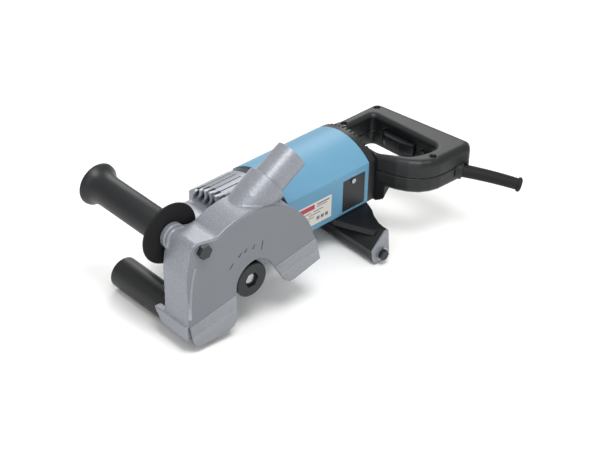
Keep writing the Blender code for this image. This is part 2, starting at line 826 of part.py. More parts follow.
def vent_ring():
    low = motor_rear + gap
    ring = to_object("vent_ring", prism("X", motor_section(0.0004), low, low + ring_depth), black())
    bore = cutter(prism("X", motor_section(0.0052), low - 0.01, low + ring_depth + 0.01))
    notches = []
    centre_z = motor_top - motor_arch_radius
    for k in range(-5, 6):
        notch = box(
            (low + ring_depth - 0.0045, -0.0014, motor_arch_radius - 0.0035),
            (low + ring_depth + 0.01, 0.0014, motor_arch_radius + 0.01),
        )
        spin = Matrix.Rotation(math.radians(5.6 * k), 3, "X")
        bmesh.ops.rotate(notch, verts=notch.verts, cent=(0, 0, 0), matrix=spin)
        bmesh.ops.translate(notch, verts=notch.verts, vec=(0, 0, centre_z))
        notches.append(notch)
    boolean(ring, [bore, cutter(several(*notches))])


def loop_outer():
    root = motor_rear + ring_depth + 2 * gap
    near = [
        (root - 0.012, -0.0400), (root - 0.001, -0.0460), (0.2795, -0.0590), (0.2850, -0.0740),
        (0.2930, -0.0880), (0.3040, -0.1000), (0.3170, -0.1075), (0.3300, -0.1110),
    ]
    rear = [(0.3840, -0.1130, 0.0080), (loop_end, -0.1040, 0.0080), (loop_end - 0.0240, 0.0460, 0.012)]
    far = [(0.3000, 0.0462), (0.2880, 0.0485), (root - 0.0013, 0.0500), (root - 0.012, 0.0505)]
    return rounded([(*p, 0) for p in near] + rear + [(*p, 0) for p in far], 5)


def loop_inner():
    return rounded([
        (0.2830, 0.0270, 0.006), (0.2830, -0.0440, 0.014), (0.3080, -0.0780, 0.030), (0.3330, -0.0855, 0.020),
        (0.3510, -0.0855, 0.009), (0.3430, 0.0270, 0.007),
    ], 5)


def screw_posts(radius, low, high, phase):
    return several(*[rod("Z", place, radius, low, high, 12, phase) for place in handle_screw_places])


def switch_handle():
    """Both halves come from one loop, hollowed and split on the motor's middle plane."""
    top = loop_half_height
    outer = loop_outer()
    inner = loop_inner()
    loop = to_object("loop", prism("Z", outer, -top, top, loop_edge_round, 4))
    opening = [cutter(prism("Z", inner, -top - 0.01, top + 0.01))]
    for side in (-1, 1):
        flare = to_object("flare", flared(inner, side), helper=True)
        opening.append(flare)
    root = motor_rear + ring_depth + 2 * gap
    web = [
        (root - 0.010, -0.0475), (root + 0.001, -0.0475), (0.2790, -0.0440), (0.2830, -0.0365),
        (0.2890, -0.0290), (0.2980, -0.0235), (0.3050, -0.0150), (0.3050, 0.0100), (0.2800, 0.0172),
        (root - 0.010, 0.0176),
    ]
    blend = to_object("blend", prism("Y", web, -0.0600, -0.0300), helper=True)
    far = cutter(prism("Y", web, 0.0290, 0.0520))
    plate = [
        (root - 0.009, -0.0470), (root + 0.001, -0.0465), (0.2815, -0.0400), (0.2815, 0.0168),
        (root - 0.009, 0.0300),
    ]
    middle = cutter(prism("Y", plate, -0.0450, 0.0432))
    boolean(blend, [far, middle], "UNION")
    boolean(blend, [cutter(prism("Z", inset(counter_clockwise(outer), 0.0004), -0.06, 0.0171))], "INTERSECT")
    boolean(blend, [cutter(prism("Z", inset(counter_clockwise(inner), -0.0004), -0.07, 0.07))])
    wall = loop_wall
    boolean(loop, opening)
    boolean(loop, [blend], "UNION")
    hollow_loop = to_object(
        "hollow", prism("Z", inset(outer, wall), -top + wall, top - wall, loop_edge_round - wall, 2),
        helper=True,
    )
    keep = cutter(prism("Z", inset(counter_clockwise(inner), -wall), -top - 0.01, top + 0.01))
    boolean(hollow_loop, [keep])
    mouth = cutter(box((root - 0.01, -0.038, -0.038), (root + 0.0035, 0.038, 0.012)))
    boolean(loop, [cutter(box((root - 0.05, -0.1, -0.1), (root, 0.1, 0.1)))])
    boolean(loop, [hollow_loop, mouth])
    boolean(loop, [cutter(screw_posts(0.0048, -top + 0.002, top - 0.002, 0.0))], "UNION")
    slot = cutter(box((0.3300, -0.0475, -0.0092), (0.3530, 0.0085, 0.0092)))
    button = cutter(rod("X", (lock_button_y, 0), 0.0048 + running_gap, 0.3400, 0.3540, 20))
    wires = cutter(rod("X", (0.0355, 0), 0.004, root - 0.01, 0.300, 12))
    boolean(loop, [cutter(screw_posts(0.0019, -top + 0.004, top + 0.01, 0.1)), slot, button, wires])
    boolean(loop, [cutter(screw_posts(0.0040, top - 0.007, top + 0.01, 0.2)), cord_hole()])
    for name, low, high in (
        ("handle_upper_half", split_gap / 2, 0.1), ("handle_lower_half", -0.1, -split_gap / 2),
    ):
        half = bpy.data.objects.new(name, loop.data.copy())
        bpy.context.scene.collection.objects.link(half)
        boolean(half, [cutter(box((0.2, -0.2, low), (0.5, 0.2, high)))], "INTERSECT")
        half.data.materials.clear()
        half.data.materials.append(black())
    bpy.data.objects.remove(loop)
    low, high = -top + 0.0045, top - 0.007 + gap
    profile = [
        (low, 0), (low, 0.0016), (high, 0.0016), (high, 0.0036), (high + 0.003, 0.0036), (high + 0.003, 0),
    ]
    for k, place in enumerate(handle_screw_places):
        to_object(f"handle_screw_{k + 1}", turned("Z", place, profile, 16), steel())


def flared(inner, side):
    """The opening's rim, widened towards the top or bottom face in a quarter round."""
    outline = counter_clockwise(inner)
    bm = bmesh.new()
    rings = []
    edge = loop_edge_round * 0.8
    top = loop_half_height
    steps = 4
    for k in range(steps + 1):
        t = math.pi / 2 * k / steps
        z = side * (top - edge + edge * math.sin(t))
        points = inset(outline, -edge * (1 - math.cos(t)) - 0.0001)
        rings.append([bm.verts.new((p[0], p[1], z)) for p in points])
    z = side * (top + 0.005)
    points = inset(outline, -edge - 0.0001)
    rings.append([bm.verts.new((p[0], p[1], z)) for p in points])
    bm.faces.new(rings[0])
    bm.faces.new(rings[-1])
    for a, b in zip(rings, rings[1:]):
        for i in range(len(a)):
            j = (i + 1) % len(a)
            bm.faces.new((a[i], a[j], b[j], b[i]))
    return bm


def switch_gear():
    body = box((0.3585, -0.040, -0.0105), (0.3685, 0.005, 0.0105))
    to_object("switch_body", body, material("grey_switch", (0.12, 0.12, 0.13), 0.5))
    outline = rounded([
        (0.3560, -0.0462, 0.002), (0.3560, -0.0400, 0.001), (0.3500, -0.0380, 0.002), (0.3500, 0.0060, 0.002),
        (0.3420, 0.0060, 0.003), (0.3350, -0.0030, 0.006), (0.3375, -0.0290, 0.010), (0.3440, -0.0462, 0.003),
    ], 3)
    trigger = prism("Z", outline, -0.0085, 0.0085, 0.0018, 2)
    to_object("trigger", trigger, material("black_trigger", (0.016, 0.016, 0.018), 0.35))
    button = turned("X", (lock_button_y, 0), [
        (0.3458, 0), (
            0.3458, 0.0038,
        ), (0.3468, 0.0048), (0.3538, 0.0048), (0.3538, 0.0066), (0.3556, 0.0066), (0.3556, 0),
    ], 20)
    to_object("lock_button", button, material("black_trigger", (0.016, 0.016, 0.018), 0.35))
    drum = rod("X", (0.0355, 0), 0.0052, 0.306, 0.330, 20)
    to_object("interference_capacitor", drum, material("capacitor", (0.45, 0.40, 0.22), 0.5))


def brush_gear():
    def block(side, x_half, z_half, inner, outer):
        low, high = sorted((side * inner, side * outer))
        return box((brush_at - x_half, low, -z_half), (brush_at + x_half, high, z_half))

    brass = material("brass", (0.55, 0.40, 0.15), 0.35, 1.0)
    for side, word in ((-1, "near"), (1, "far")):
        holder = block(side, 0.0055, 0.0045, commutator_radius + 0.0015, 0.0385)
        bore = cutter(block(side, 0.0036, 0.0027, commutator_radius, 0.040))
        boolean(to_object("brush_holder_" + word, holder, brass), [bore])
        to_object(
            "carbon_brush_" + word, block(side, 0.0033, 0.0024, commutator_radius + gap, 0.0290), carbon(),
        )
        low, high = sorted((side * 0.0293, side * 0.0382))
        to_object("brush_spring_" + word, tube("Y", (brush_at, 0), 0.0021, 0.0013, low, high, 12), steel())


def along_sleeve(s):
    """The sleeve's middle line: straight out of the handle, then drooping."""
    return Vector(sleeve_start) + Vector((0.64 * s, -0.73 * s - 0.25 * s * s, -0.10 * s - 0.8 * s * s))


def cord_hole():
    hole = rod("X", (0, 0), sleeve_outer + 0.0005, -0.008, 0.030, 24)
    aim = (along_sleeve(0.012) - along_sleeve(0)).normalized()
    turn = aim.to_track_quat("X", "Z").to_matrix().to_4x4()
    bmesh.ops.transform(hole, matrix=Matrix.Translation(along_sleeve(0)) @ turn, verts=hole.verts)
    return cutter(hole)


def cord_sleeve():
    """Flexible strain relief with a bead at its free end and a bore for the cord."""
    length = 0.097
    stations = [(k / 12 * length, sleeve_outer - 0.0010 * k / 12) for k in range(12)]
    stations += [
        (length - 0.0052, sleeve_outer - 0.001), (length - 0.0048, sleeve_outer + 0.0008),
        (length - 0.002, sleeve_outer + 0.0011), (length, sleeve_outer - 0.0008),
    ]
    stations += [(length, sleeve_bore)] + [(k / 8 * length, sleeve_bore) for k in range(7, -1, -1)]
    bm = bmesh.new()
    rings = []
    sides = 14
    for s, radius in stations:
        middle = along_sleeve(s)
        aim = (along_sleeve(s + 0.001) - along_sleeve(s - 0.001)).normalized()
        side = aim.cross(Vector((0, 0, 1))).normalized()
        up = side.cross(aim)
        ring = []
        for k in range(sides):
            t = math.tau * k / sides
            ring.append(bm.verts.new(middle + radius * (math.cos(t) * side + math.sin(t) * up)))
        rings.append(ring)
    for a, b in zip(rings, rings[1:] + rings[:1]):
        for i in range(sides):
            j = (i + 1) % sides
            bm.faces.new((a[i], a[j], b[j], b[i]))
    to_object("cord_sleeve", bm, rubber())


def rating_plate():
    low = -motor_half_width - 0.0008
    plate = box((0.134, low, -0.032), (0.196, -motor_half_width - 0.0001, 0.002))
    to_object("rating_plate", plate, material("printed_plate", (0.75, 0.75, 0.73), 0.5))


brush_at = (commutator_front + commutator_rear) / 2
cover_screw = ((side_cover_from + side_cover_to) / 2 - 0.002, 0.0055)
pinion_angle = math.atan(pinion_teeth / wheel_teeth)
wheel_angle = math.pi / 2 - pinion_angle
pinion_back = cone_distance * math.cos(pinion_angle - math.atan(dedendum / cone_distance)) + 0.0012
handle_screw_places = [(0.3280, -0.0985), (0.2960, 0.0355), (0.3580, 0.0355)]
lock_button_y = -0.061

motor_housing()
side_covers()
cover_screws()
stator()
armature()
bearings()
gears()
spindle()
gear_housing()
baffle()
guard()
nozzle()
guard_cover()
side_handle()
front_roller()
rear_foot()
vent_ring()
switch_handle()
switch_gear()
brush_gear()
cord_sleeve()
rating_plate()

BODIES = {
    "armature": (tuple(core_offset), [
        "armature_shaft", "armature_core", "armature_winding_front", "armature_winding_rear", "commutator",
        "cooling_fan", "bevel_pinion",
    ]),
    "spindle": (
        tuple(core_offset), ["spindle", "inner_flange", "wheel_spacer", "outer_flange_nut", "bevel_wheel"],
    ),
    "guard": ((0, 0, core_offset.z), [
        "guard_body", "guard_cover", "guard_cover_bolt", "dust_nozzle", "side_handle_stud", "hand_guard_disc",
        "side_handle_grip", "front_roller_axle",
    ]),
    "front_roller": ((front_roller_axis[0], 0, front_roller_axis[1]), ["front_roller"]),
    "rear_roller": ((rear_roller_axis[0], 0, rear_roller_axis[1]), ["rear_roller"]),
    "trigger": ((0.3530, -0.0440, 0), ["trigger"]),
    "lock_button": ((0.3458, lock_button_y, 0), ["lock_button"]),
}


CORE = [
    "motor_housing", "brush_cover_near", "brush_cover_far", "brush_cover_screw_near", "brush_cover_screw_far",
    "rating_plate", "stator_core", "field_coil_front", "field_coil_rear", "front_armature_bearing",
    "rear_armature_bearing", "spindle_ball_bearing", "spindle_needle_bearing", "gear_housing", "baffle_ring",
    "vent_ring", "brush_holder_near", "brush_holder_far", "carbon_brush_near", "carbon_brush_far",
    "brush_spring_near", "brush_spring_far",
] + BODIES["armature"][1] + BODIES["spindle"][1]


def assemble():
    """Bodies hang on empties on their joint axes, and the whole tool is tilted onto its rollers."""
    for name in CORE:
        bpy.data.objects[name].data.transform(Matrix.Translation(core_offset))
    tool = bpy.data.objects.new("tool", None)
    bpy.context.scene.collection.objects.link(tool)
    frames = {}
    for name, (place, nodes) in BODIES.items():
        frame = bpy.data.objects.new("axis_" + name, None)
        bpy.context.scene.collection.objects.link(frame)
        frame.location = place
        frame.parent = tool
        for node in nodes:
            frames[node] = (frame, place)
    for obj in bpy.data.objects:
        if obj.type != "MESH":
            continue
        frame, place = frames.get(obj.name, (tool, (0, 0, 0)))
        obj.parent = frame
        obj.location = -Vector(place)
    run = rear_roller_axis[0] - front_roller_axis[0]
    drop = front_roller_axis[1] - rear_roller_axis[1]
    reach = math.hypot(run, drop)
    ground = -math.atan2(drop, run) + math.asin((front_roller_radius - rear_roller_radius) / reach)
    tool.rotation_euler = (0, ground, 0)
    bpy.context.view_layer.update()
    corners = []
    for obj in bpy.data.objects:
        if obj.type == "MESH":
            corners += [obj.matrix_world @ v.co for v in obj.data.vertices]
    low = Vector([min(c[i] for c in corners) for i in range(3)])
    high = Vector([max(c[i] for c in corners) for i in range(3)])
    tool.location = (-(low.x + high.x) / 2, -(low.y + high.y) / 2, -low.z)


assemble()
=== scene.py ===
import json
import math

import bmesh
import bpy
from mathutils import Matrix, Vector

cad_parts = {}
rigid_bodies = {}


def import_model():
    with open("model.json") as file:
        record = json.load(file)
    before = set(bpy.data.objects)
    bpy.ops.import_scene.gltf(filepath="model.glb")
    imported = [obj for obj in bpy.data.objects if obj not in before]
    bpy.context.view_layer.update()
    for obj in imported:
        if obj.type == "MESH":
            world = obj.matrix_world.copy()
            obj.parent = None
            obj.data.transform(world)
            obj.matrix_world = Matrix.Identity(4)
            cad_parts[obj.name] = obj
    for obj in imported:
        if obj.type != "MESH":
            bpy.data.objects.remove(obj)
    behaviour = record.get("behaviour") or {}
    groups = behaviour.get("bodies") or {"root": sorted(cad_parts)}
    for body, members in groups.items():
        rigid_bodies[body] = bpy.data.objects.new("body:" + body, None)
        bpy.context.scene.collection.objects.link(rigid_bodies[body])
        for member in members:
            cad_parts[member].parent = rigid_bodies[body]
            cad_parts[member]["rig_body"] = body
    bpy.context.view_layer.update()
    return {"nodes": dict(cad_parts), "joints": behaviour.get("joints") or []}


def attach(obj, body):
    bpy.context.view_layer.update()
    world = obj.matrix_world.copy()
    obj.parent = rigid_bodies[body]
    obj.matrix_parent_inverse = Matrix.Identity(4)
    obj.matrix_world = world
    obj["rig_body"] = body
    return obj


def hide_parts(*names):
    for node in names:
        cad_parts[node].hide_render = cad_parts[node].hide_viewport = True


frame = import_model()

mm = 0.001
nodes = frame["nodes"]
joints = {joint["name"]: joint for joint in frame["joints"]}

# The tool's own frame: X along the motor, Y along the spindle, 4 mm over its axis
motorDirection = Vector(joints["armature_spin"]["axis"]).normalized()
upDirection = Vector((-motorDirection.z, 0, motorDirection.x))
toolOrigin = Vector(joints["guard_swing"]["pos_m"]) + 4 * mm * upDirection
toolFrame = Matrix.Translation(toolOrigin) @ Matrix((
    (motorDirection.x, 0, upDirection.x), (0, 1, 0), (motorDirection.z, 0, upDirection.z))).to_4x4()


def linearColour(code):
    # sRGB hex to linear RGBA
    parts = [int(code[i:i + 2], 16) / 255 for i in (1, 3, 5)]
    return [c / 12.92 if c <= 0.04045 else ((c + 0.055) / 1.055) ** 2.4 for c in parts] + [1]


def addNode(tree, kind, settings=None, links=None):
    made = tree.nodes.new(kind)
    for key, value in (settings or {}).items():
        if isinstance(key, str) and hasattr(made, key):
            setattr(made, key, value)
        else:
            made.inputs[key].default_value = value
    for key, source in (links or {}).items():
        tree.links.new(source, made.inputs[key])
    return made


def newMaterial(name, colour, roughness, metallic=0.0, coat=0.0):
    made = bpy.data.materials.new(name)
    made.use_nodes = True
    tree = made.node_tree
    shader = tree.nodes["Principled BSDF"]
    shader.inputs["Base Color"].default_value = linearColour(colour)
    shader.inputs["Roughness"].default_value = roughness
    shader.inputs["Metallic"].default_value = metallic
    shader.inputs["Coat Weight"].default_value = coat
    return made, tree, shader


mixFirst, mixSecond = 6, 7  # the colour sockets of a Mix node


def finish(look):
    # Broad mottling, fine flecks, rubbed edges, a roughness break-up and a grain bump
    made, tree, shader = newMaterial(
        look["name"], look["colour"], look["roughness"], look.get("metallic", 0.0), look.get("coat", 0.0),
    )
    shader.inputs["Specular IOR Level"].default_value = look.get("specular", 0.5)
    coords = addNode(tree, "ShaderNodeTexCoord").outputs["Object"]
    grainScale = 1 / (look["grainMm"] * mm)
    broad = addNode(
        tree, "ShaderNodeTexNoise", {"Scale": 1 / (look.get("patchMm", 35) * mm), "Detail": 3.0},
        {"Vector": coords},
    )
    tone = addNode(tree, "ShaderNodeMix", {"data_type": "RGBA"})
    tree.links.new(broad.outputs["Fac"], tone.inputs[0])
    tone.inputs[mixFirst].default_value = linearColour(look["colour"])
    tone.inputs[mixSecond].default_value = linearColour(look["second"])
    fine = addNode(
        tree, "ShaderNodeTexNoise", {"Scale": grainScale, "Detail": 3.0, "Roughness": 0.6},
        {"Vector": coords},
    )
    if look.get("brushed"):
        stretch = addNode(tree, "ShaderNodeMapping", {"Scale": look["brushed"]}, {"Vector": coords})
        tree.links.new(stretch.outputs["Vector"], fine.inputs["Vector"])
    height = fine.outputs["Fac"]
    if look.get("cells"):
        cells = addNode(
            tree, "ShaderNodeTexVoronoi", {"feature": "SMOOTH_F1", "Scale": grainScale, "Smoothness": 0.8},
            {"Vector": coords},
        )
        height = cells.outputs["Distance"]
    fleckShare = addNode(
        tree, "ShaderNodeMapRange",
        {"From Min": 0.35, "From Max": 0.65, "To Min": 0.0, "To Max": look.get("fleck", 0.15)},
        {"Value": height},
    )
    flecked = addNode(tree, "ShaderNodeMix", {"data_type": "RGBA"})
    tree.links.new(fleckShare.outputs["Result"], flecked.inputs[0])
    tree.links.new(tone.outputs[2], flecked.inputs[mixFirst])
    flecked.inputs[mixSecond].default_value = linearColour(look.get("fleckColour", look["second"]))
    shape = addNode(tree, "ShaderNodeNewGeometry")
    edge = addNode(
        tree, "ShaderNodeMapRange",
        {"From Min": 0.53, "From Max": 0.62, "To Min": 0.0, "To Max": look.get("edgeWear", 0.25)},
        {"Value": shape.outputs["Pointiness"]},
    )
    rubbed = addNode(tree, "ShaderNodeMix", {"data_type": "RGBA"})
    tree.links.new(edge.outputs["Result"], rubbed.inputs[0])
    tree.links.new(flecked.outputs[2], rubbed.inputs[mixFirst])
    rubbed.inputs[mixSecond].default_value = linearColour(look.get("wornColour", look["second"]))
    tree.links.new(rubbed.outputs[2], shader.inputs["Base Color"])
    spread = look.get("spread", 0.06)
    rough = addNode(
        tree, "ShaderNodeMapRange",
        {"To Min": look["roughness"] - spread, "To Max": look["roughness"] + spread},
        {"Value": fine.outputs["Fac"]},
    )
    tree.links.new(rough.outputs["Result"], shader.inputs["Roughness"])
    bump = addNode(
        tree, "ShaderNodeBump", {"Strength": look["bump"], "Distance": look.get("depthMm", 0.1) * mm},
        {"Height": height},
    )
    tree.links.new(bump.outputs["Normal"], shader.inputs["Normal"])
    return made


looks = {
    # glass-filled nylon moulded in teal: satin, with a fine spark-eroded grain
    "tealNylon": {
        "name": "teal_moulded_nylon", "colour": "#5F92AE", "second": "#5A8BA8", "roughness": 0.45,
        "grainMm": 1.1, "bump": 0.35, "fleck": 0.25, "fleckColour": "#4F849F", "edgeWear": 0.35,
        "wornColour": "#86B9D2",
    },
    # black glass-filled nylon: satin highlights that break up in the grain
    "blackNylon": {
        "name": "black_moulded_nylon", "colour": "#0D0E10", "second": "#111315", "roughness": 0.42,
        "specular": 0.4, "grainMm": 1.2, "bump": 0.45, "fleck": 0.3, "fleckColour": "#1B1D1F",
        "edgeWear": 0.35, "wornColour": "#2E3134",
    },
    # die casting under silver hammer-finish paint: dimples 2 to 3 mm across, drawn at the coarse end to show
    "hammered": {
        "name": "hammered_silver_on_aluminium", "colour": "#84878E", "second": "#7B7E85", "roughness": 0.40,
        "metallic": 0.35, "grainMm": 2.0, "bump": 0.5, "cells": True, "depthMm": 0.3, "fleck": 0.3,
        "fleckColour": "#999CA3", "edgeWear": 0.5, "wornColour": "#BFC1C7", "spread": 0.12,
    },
    # gear case in the same paint, lighter and smoother where it is dressed
    "castGrey": {
        "name": "painted_gear_casting", "colour": "#8B8E95", "second": "#82858C", "roughness": 0.38,
        "metallic": 0.4, "grainMm": 1.9, "bump": 0.35, "cells": True, "depthMm": 0.22, "fleck": 0.25,
        "fleckColour": "#9DA0A7", "edgeWear": 0.6, "wornColour": "#CFD0D4",
    },
    # flat pressed cover in smooth grey paint
    "coverGrey": {
        "name": "satin_grey_enamel", "colour": "#6C6F75", "second": "#666970", "roughness": 0.48,
        "metallic": 0.1, "grainMm": 1.4, "bump": 0.25, "fleck": 0.3, "fleckColour": "#74777D",
        "edgeWear": 0.6, "wornColour": "#A9ACB2",
    },
    # the same enamel over the thickened feet, with a coarser speckle
    "coverSpeckled": {
        "name": "speckled_grey_enamel", "colour": "#73767C", "second": "#6C6F75", "roughness": 0.48,
        "metallic": 0.1, "grainMm": 1.8, "bump": 0.25, "fleck": 0.45, "fleckColour": "#8A8D93",
        "edgeWear": 0.6, "wornColour": "#A9ACB2",
    },
    # moulded rubber, matt with a little bloom
    "rubber": {
        "name": "moulded_rubber", "colour": "#09090A", "second": "#0E0E0F", "roughness": 0.62,
        "specular": 0.3, "grainMm": 1.2, "bump": 0.4, "fleck": 0.3, "fleckColour": "#131314",
        "edgeWear": 0.2, "wornColour": "#222223",
    },
    # turned and ground steel: fine marks round the axis
    "steel": {
        "name": "machined_steel", "colour": "#B4B5B8", "second": "#A2A3A6", "roughness": 0.28,
        "metallic": 1.0, "grainMm": 1.0, "bump": 0.25, "brushed": (1, 6, 1), "edgeWear": 0.4,
        "wornColour": "#D8D8DA",
    },
    # black-oxide steel fasteners with rubbed corners
    "blackSteel": {
        "name": "black_oxide_steel", "colour": "#1D2022", "second": "#25282A", "roughness": 0.38,
        "metallic": 0.6, "grainMm": 1.0, "bump": 0.35, "fleck": 0.3, "fleckColour": "#303436",
        "edgeWear": 0.6, "wornColour": "#6A6E70",
    },
    # varnished winding wire: strands run across, with a warm glint
    "copper": {
        "name": "enamelled_copper_wire", "colour": "#A8592B", "second": "#8E4520", "roughness": 0.3,
        "metallic": 0.9, "grainMm": 0.8, "bump": 0.5, "brushed": (8, 1, 1),
    },
    # drawn tube: bright, with lines along it
    "brass": {
        "name": "drawn_brass", "colour": "#C2A04C", "second": "#B08E3E", "roughness": 0.3, "metallic": 1.0,
        "grainMm": 1.0, "bump": 0.2, "brushed": (1, 6, 1),
    },
    # pressed block: dull and dark
    "carbon": {
        "name": "pressed_carbon", "colour": "#1A1A1B", "second": "#222224", "roughness": 0.7,
        "grainMm": 0.6, "bump": 0.4,
    },
    # dipped resin: glossy and even
    "film": {
        "name": "dipped_film_capacitor", "colour": "#A8914A", "second": "#9C8540", "roughness": 0.3,
        "grainMm": 1.5, "bump": 0.1,
    },
    # moulded switch case: plain satin grey
    "greySwitch": {
        "name": "grey_moulded_switch", "colour": "#3A3C3F", "second": "#333538", "roughness": 0.5,
        "grainMm": 0.9, "bump": 0.3,
    },
    # pressed cap over the brushes: flatter and bluer than the handle
    "brushCap": {
        "name": "dark_moulded_cap", "colour": "#17181B", "second": "#1B1C1F", "roughness": 0.5,
        "grainMm": 1.0, "bump": 0.4, "fleck": 0.3, "fleckColour": "#24262A",
    },
    # vinyl film under clear coat: an even, soft gloss
    "printWhite": {
        "name": "printed_white_film", "colour": "#CFCBC5", "second": "#C6C2BC", "roughness": 0.4,
        "grainMm": 1.4, "bump": 0.15, "coat": 0.3,
    },
    "printRed": {
        "name": "printed_red_ink", "colour": "#A8243A", "second": "#9C1F33", "roughness": 0.4,
        "grainMm": 1.4, "bump": 0.15, "coat": 0.3,
    },
    "printGrey": {
        "name": "printed_grey_ink", "colour": "#6C6B70", "second": "#626166", "roughness": 0.45,
        "grainMm": 1.4, "bump": 0.15,
    },
    # painted shade for sunk marks and hollows: dark and matt
    "paintedRecessShade": {
        "name": "painted_recess_shade", "colour": "#2C2E33", "second": "#26282C", "roughness": 0.6,
        "grainMm": 1.4, "bump": 0.3,
    },
}
paint = {key: finish(look) for key, look in looks.items()}
print("materials", len(paint))


def dress(piece, material):
    piece.data.materials.clear()
    piece.data.materials.append(paint[material])


sharpAngle = 34  # degrees


def smoothed(mesh, angle=sharpAngle):
    mesh.shade_smooth()
    mesh.set_sharp_from_angle(angle=math.radians(angle))


def addPiece(name, bm, material, body, angle=sharpAngle, inTool=True):
    if inTool:
        bmesh.ops.transform(bm, matrix=toolFrame, verts=bm.verts)
    bmesh.ops.recalc_face_normals(bm, faces=bm.faces)
    mesh = bpy.data.meshes.new(name)
    bm.to_mesh(mesh)
    bm.free()
    smoothed(mesh, angle)
    piece = bpy.data.objects.new(name, mesh)
    bpy.context.scene.collection.objects.link(piece)
    dress(piece, material)
    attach(piece, body)
    return piece


def rounded(piece, width, segments, angle):
    # A live bevel on every edge sharper than the angle
    rounding = piece.modifiers.new("edge", "BEVEL")
    rounding.width = width
    rounding.segments = segments
    rounding.limit_method = "ANGLE"
    rounding.angle_limit = math.radians(angle)
    return rounding


def refined(node, material, edge, segments=3, angle=sharpAngle):
    # A merged copy of a CAD node with its sharp edges rounded
    source = nodes[node]
    bm = bmesh.new()
    bm.from_mesh(source.data)
    bmesh.ops.remove_doubles(bm, verts=bm.verts, dist=0.00001)
    bmesh.ops.dissolve_limit(bm, angle_limit=math.radians(0.6), verts=bm.verts, edges=bm.edges)
    mesh = bpy.data.meshes.new(node + "_skin")
    bm.to_mesh(mesh)
    bm.free()
    smoothed(mesh, angle)
    piece = bpy.data.objects.new(node + "_skin", mesh)
    bpy.context.scene.collection.objects.link(piece)
    dress(piece, material)
    if edge:
        rounded(piece, edge, segments, angle).harden_normals = True
    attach(piece, source["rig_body"])
    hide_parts(node)
    return piece


# Material and edge rounding in mm of each outer part
outside = {
    "motor_housing": ("tealNylon", 1.4), "vent_ring": ("blackNylon", 0.7),
    "baffle_ring": ("blackNylon", 0.4), "gear_housing": ("castGrey", 0.6),
    "guard_cover": ("coverGrey", 0.7), "dust_nozzle": ("hammered", 0.5),
    "side_handle_grip": ("blackNylon", 0.8), "hand_guard_disc": ("rubber", 1.1),
    "side_handle_stud": ("blackSteel", 0.3), "guard_cover_bolt": ("blackSteel", 0.5),
    "front_roller": ("blackNylon", 0.5), "front_roller_axle": ("steel", 0.3),
    "rear_foot": ("blackNylon", 1.2), "rear_foot_end_plate": ("hammered", 0.4),
    "rear_roller": ("blackNylon", 0.6), "rear_axle_bolt": ("blackSteel", 0.5),
    "rear_axle_washer": ("steel", 0.3), "outer_flange_nut": ("blackSteel", 0.5),
    "inner_flange": ("blackSteel", 0.5), "wheel_spacer": ("steel", 0.3), "spindle": ("steel", 0.5),
    "trigger": ("blackNylon", 0.6), "lock_button": ("blackNylon", 0.5),
    "brush_cover_near": ("brushCap", 0.4), "brush_cover_far": ("brushCap", 0.4),
    "brush_cover_screw_near": ("steel", 0.3), "brush_cover_screw_far": ("steel", 0.3),
    "cord_sleeve": ("rubber", 0.5), "rating_plate": ("printWhite", 0.1),
}
inside = {
    "stator_core": "steel", "armature_core": "steel", "armature_shaft": "steel", "field_coil_front": "copper",
    "field_coil_rear": "copper", "armature_winding_front": "copper", "armature_winding_rear": "copper",
    "commutator": "copper", "cooling_fan": "blackNylon", "bevel_pinion": "blackSteel",
    "bevel_wheel": "blackSteel",
    "switch_body": "greySwitch", "interference_capacitor": "film", "brush_holder_near": "brass",
    "brush_holder_far": "brass", "carbon_brush_near": "carbon", "carbon_brush_far": "carbon",
}


def recast(node, material, grain, rounds):
    # A voxel skin of a CAD node, smoothed so that its edges and joins run into fillets
    source = nodes[node]
    bm = bmesh.new()
    bm.from_mesh(source.data)
    bmesh.ops.remove_doubles(bm, verts=bm.verts, dist=0.00001)
    mesh = bpy.data.meshes.new(node + "_core")
    bm.to_mesh(mesh)
    bm.free()
    core = bpy.data.objects.new(node + "_core", mesh)
    bpy.context.scene.collection.objects.link(core)
    skin = core.modifiers.new("skin", "REMESH")
    skin.mode = "VOXEL"
    skin.voxel_size = grain
    bpy.context.view_layer.update()
    graph = bpy.context.evaluated_depsgraph_get()
    bm = bmesh.new()
    bm.from_object(core, graph)
    bpy.data.objects.remove(core)
    for _ in range(rounds):
        bmesh.ops.smooth_vert(
            bm, verts=bm.verts, factor=0.5, use_axis_x=True, use_axis_y=True, use_axis_z=True,
        )
    bmesh.ops.dissolve_limit(bm, angle_limit=math.radians(0.4), verts=bm.verts, edges=bm.edges)
    bmesh.ops.triangulate(bm, faces=bm.faces)
    mesh = bpy.data.meshes.new(node + "_skin")
    bm.to_mesh(mesh)
    bm.free()
    mesh.shade_smooth()
    piece = bpy.data.objects.new(node + "_skin", mesh)
    bpy.context.scene.collection.objects.link(piece)
    dress(piece, material)
    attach(piece, source["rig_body"])
    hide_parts(node)
    print(node, len(mesh.polygons), "faces")
    return piece


# Material, voxel size in mm and rounds of smoothing
skins = {
    "guard_body": ("hammered", 1.1, 3),
    "handle_upper_half": ("blackNylon", 1.0, 4),
    "handle_lower_half": ("blackNylon", 1.0, 4),
}
for node, (material, grain, rounds) in skins.items():
    recast(node, material, grain * mm, rounds)

for node, (material, edge) in outside.items():
    refined(node, material, edge * mm)
for name, node in nodes.items():
    if name not in outside:
        dress(node, inside.get(name, "steel"))
print("refined", len(outside), "of", len(nodes))


def block(bm, low, high):
    size = [h - l for l, h in zip(low, high)]
    middle = [(h + l) / 2 for l, h in zip(low, high)]
    return bmesh.ops.create_cube(
        bm, size=1, matrix=Matrix.Translation(middle) @ Matrix.Diagonal((*size, 1)),
    )["verts"]


def roundedEdges(bm, width, segments=2):
    bmesh.ops.bevel(
        bm, geom=bm.edges, offset=width, affect="EDGES", segments=segments, profile=0.5, material=-1,
        clamp_overlap=True,
    )
